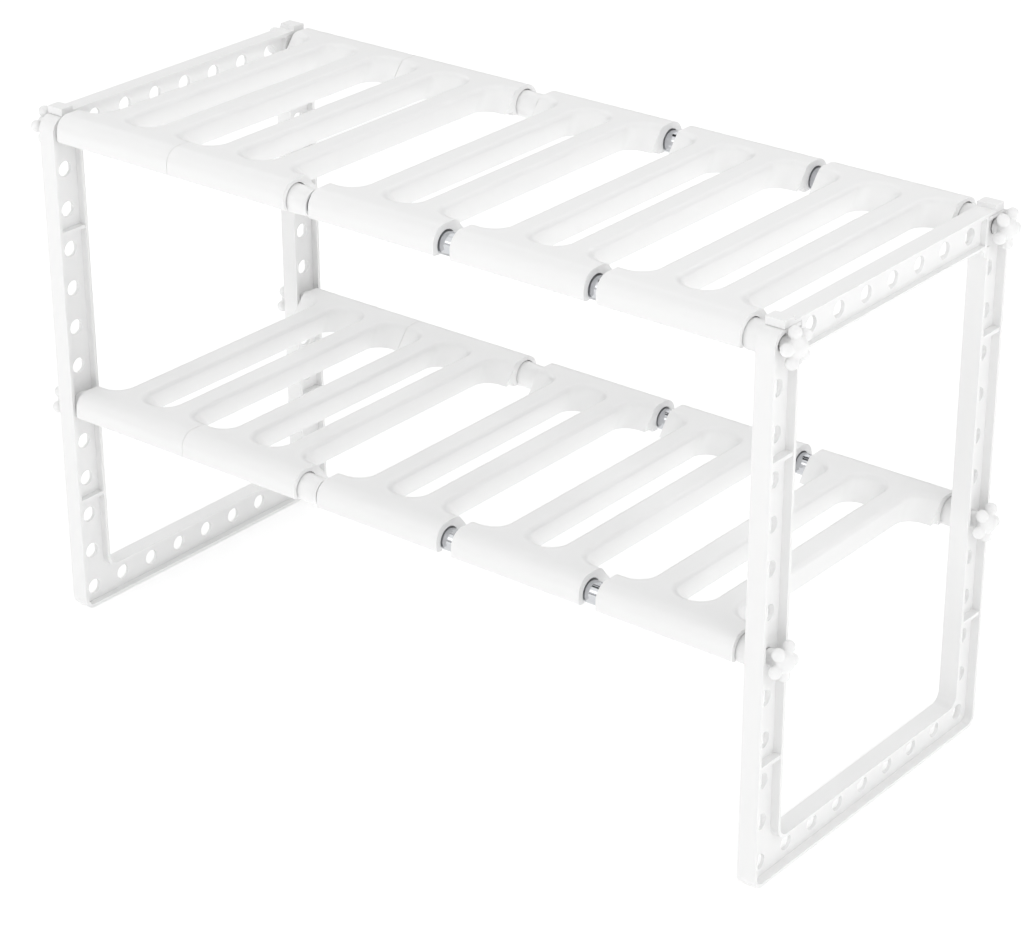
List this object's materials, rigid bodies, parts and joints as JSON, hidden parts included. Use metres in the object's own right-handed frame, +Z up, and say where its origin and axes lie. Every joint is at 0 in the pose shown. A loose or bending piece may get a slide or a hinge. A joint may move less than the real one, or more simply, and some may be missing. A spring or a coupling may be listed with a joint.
{
  "type": "tiered shelf riser",
  "caption": "Freestanding two-tier shelf riser that widens on telescoping tubes, with slatted clip-on panels, drilled side frames and star knobs.",
  "frame": {"origin": "on the floor under the middle of the riser", "axes": "+X along the tubes towards the sliding half, +Y to the back, +Z up"},
  "size_m": [0.62, 0.2595, 0.3765],
  "materials": {
    "frame_plastic": "satin moulded white polypropylene",
    "shelf_plastic": "satin moulded white polypropylene",
    "tube_plastic": "white coated tube, satin",
    "fitting_plastic": "smooth white plastic",
    "knob_plastic": "smooth white plastic",
    "chrome_tube": "polished chrome plate"
  },
  "bodies": {
    "left_half": {"left_side_frame": "frame_plastic", "left_top_crossbar": "frame_plastic", "upper_front_outer_tube": "tube_plastic", "upper_front_collar": "fitting_plastic", "upper_front_left_plug": "fitting_plastic", "upper_rear_outer_tube": "tube_plastic", "upper_rear_collar": "fitting_plastic", "upper_rear_left_plug": "fitting_plastic", "lower_front_outer_tube": "tube_plastic", "lower_front_collar": "fitting_plastic", "lower_front_left_plug": "fitting_plastic", "lower_rear_outer_tube": "tube_plastic", "lower_rear_collar": "fitting_plastic", "lower_rear_left_plug": "fitting_plastic", "upper_panel_1": "shelf_plastic", "lower_panel_1": "shelf_plastic"},
    "right_half": {"right_side_frame": "frame_plastic", "right_top_crossbar": "frame_plastic", "upper_front_inner_tube": "chrome_tube", "upper_front_right_plug": "fitting_plastic", "upper_rear_inner_tube": "chrome_tube", "upper_rear_right_plug": "fitting_plastic", "lower_front_inner_tube": "chrome_tube", "lower_front_right_plug": "fitting_plastic", "lower_rear_inner_tube": "chrome_tube", "lower_rear_right_plug": "fitting_plastic"},
    "upper_shelf_2": {"upper_panel_2": "shelf_plastic"},
    "upper_shelf_3": {"upper_panel_3": "shelf_plastic"},
    "upper_shelf_4": {"upper_panel_4": "shelf_plastic"},
    "upper_shelf_5": {"upper_panel_5": "shelf_plastic"},
    "lower_shelf_2": {"lower_panel_2": "shelf_plastic"},
    "lower_shelf_3": {"lower_panel_3": "shelf_plastic"},
    "lower_shelf_4": {"lower_panel_4": "shelf_plastic"},
    "lower_shelf_5": {"lower_panel_5": "shelf_plastic"},
    "upper_front_left_knob_body": {"upper_front_left_knob": "knob_plastic"},
    "upper_front_right_knob_body": {"upper_front_right_knob": "knob_plastic"},
    "upper_rear_left_knob_body": {"upper_rear_left_knob": "knob_plastic"},
    "upper_rear_right_knob_body": {"upper_rear_right_knob": "knob_plastic"},
    "lower_front_left_knob_body": {"lower_front_left_knob": "knob_plastic"},
    "lower_front_right_knob_body": {"lower_front_right_knob": "knob_plastic"},
    "lower_rear_left_knob_body": {"lower_rear_left_knob": "knob_plastic"},
    "lower_rear_right_knob_body": {"lower_rear_right_knob": "knob_plastic"}
  },
  "joints": [
    {"name": "width_slide", "type": "slide", "parent": "left_half", "child": "right_half", "axis": [1, 0, 0], "range_m": [-0.0035, 0.1]},
    {"name": "upper_panel_2_slide", "type": "slide", "parent": "left_half", "child": "upper_shelf_2", "axis": [1, 0, 0], "range_m": [0, 0.016]},
    {"name": "upper_panel_3_slide", "type": "slide", "parent": "right_half", "child": "upper_shelf_3", "axis": [1, 0, 0], "range_m": [0, 0.0125]},
    {"name": "upper_panel_4_slide", "type": "slide", "parent": "right_half", "child": "upper_shelf_4", "axis": [1, 0, 0], "range_m": [0, 0.0085]},
    {"name": "upper_panel_5_slide", "type": "slide", "parent": "right_half", "child": "upper_shelf_5", "axis": [1, 0, 0], "range_m": [0, 0.01]},
    {"name": "lower_panel_2_slide", "type": "slide", "parent": "left_half", "child": "lower_shelf_2", "axis": [1, 0, 0], "range_m": [0, 0.016]},
    {"name": "lower_panel_3_slide", "type": "slide", "parent": "right_half", "child": "lower_shelf_3", "axis": [1, 0, 0], "range_m": [0, 0.0115]},
    {"name": "lower_panel_4_slide", "type": "slide", "parent": "right_half", "child": "lower_shelf_4", "axis": [1, 0, 0], "range_m": [0, 0.0125]},
    {"name": "lower_panel_5_slide", "type": "slide", "parent": "right_half", "child": "lower_shelf_5", "axis": [1, 0, 0], "range_m": [0, 0.008]},
    {"name": "upper_front_left_knob_turn", "type": "hinge", "parent": "left_half", "child": "upper_front_left_knob_body", "pos_m": [-0.3, -0.116, 0.361], "axis": [-1, 0, 0], "continuous": true},
    {"name": "upper_front_right_knob_turn", "type": "hinge", "parent": "right_half", "child": "upper_front_right_knob_body", "pos_m": [0.3, -0.116, 0.361], "axis": [1, 0, 0], "continuous": true},
    {"name": "upper_rear_left_knob_turn", "type": "hinge", "parent": "left_half", "child": "upper_rear_left_knob_body", "pos_m": [-0.3, 0.116, 0.361], "axis": [-1, 0, 0], "continuous": true},
    {"name": "upper_rear_right_knob_turn", "type": "hinge", "parent": "right_half", "child": "upper_rear_right_knob_body", "pos_m": [0.3, 0.116, 0.361], "axis": [1, 0, 0], "continuous": true},
    {"name": "lower_front_left_knob_turn", "type": "hinge", "parent": "left_half", "child": "lower_front_left_knob_body", "pos_m": [-0.3, -0.116, 0.158], "axis": [-1, 0, 0], "continuous": true},
    {"name": "lower_front_right_knob_turn", "type": "hinge", "parent": "right_half", "child": "lower_front_right_knob_body", "pos_m": [0.3, -0.116, 0.158], "axis": [1, 0, 0], "continuous": true},
    {"name": "lower_rear_left_knob_turn", "type": "hinge", "parent": "left_half", "child": "lower_rear_left_knob_body", "pos_m": [-0.3, 0.116, 0.158], "axis": [-1, 0, 0], "continuous": true},
    {"name": "lower_rear_right_knob_turn", "type": "hinge", "parent": "right_half", "child": "lower_rear_right_knob_body", "pos_m": [0.3, 0.116, 0.158], "axis": [1, 0, 0], "continuous": true}
  ]
}
